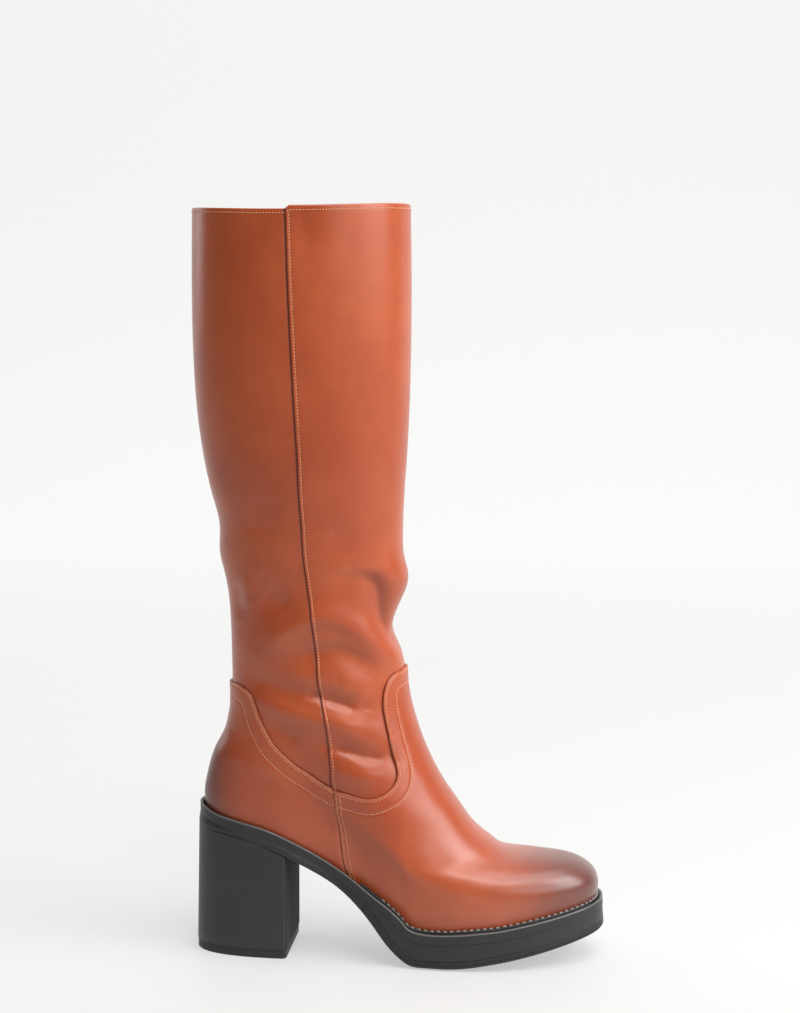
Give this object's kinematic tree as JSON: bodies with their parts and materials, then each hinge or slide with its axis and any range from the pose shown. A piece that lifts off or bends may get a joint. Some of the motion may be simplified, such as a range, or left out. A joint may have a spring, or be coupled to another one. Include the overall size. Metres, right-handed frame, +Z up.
{
  "type": "knee-high boot",
  "caption": "Tan leather knee-high boot for the right foot, with a black platform sole and a block heel.",
  "frame": {"origin": "middle of the heel's face on the ground", "axes": "+X to the toe, +Y to the inner side of the foot, +Z up"},
  "size_m": [0.2531, 0.1028, 0.4579],
  "materials": {
    "leather": "smooth, semi-gloss, fine grain",
    "lining": "matte",
    "welt": "satin",
    "sole": "matte",
    "tread": "matte"
  },
  "bodies": {
    "root": {"upper": "leather", "vamp": "leather", "counter": "leather", "insole": "lining", "welt": "welt", "midsole": "sole", "outsole": "tread", "heel": "sole", "top_piece": "tread"}
  },
  "joints": []
}
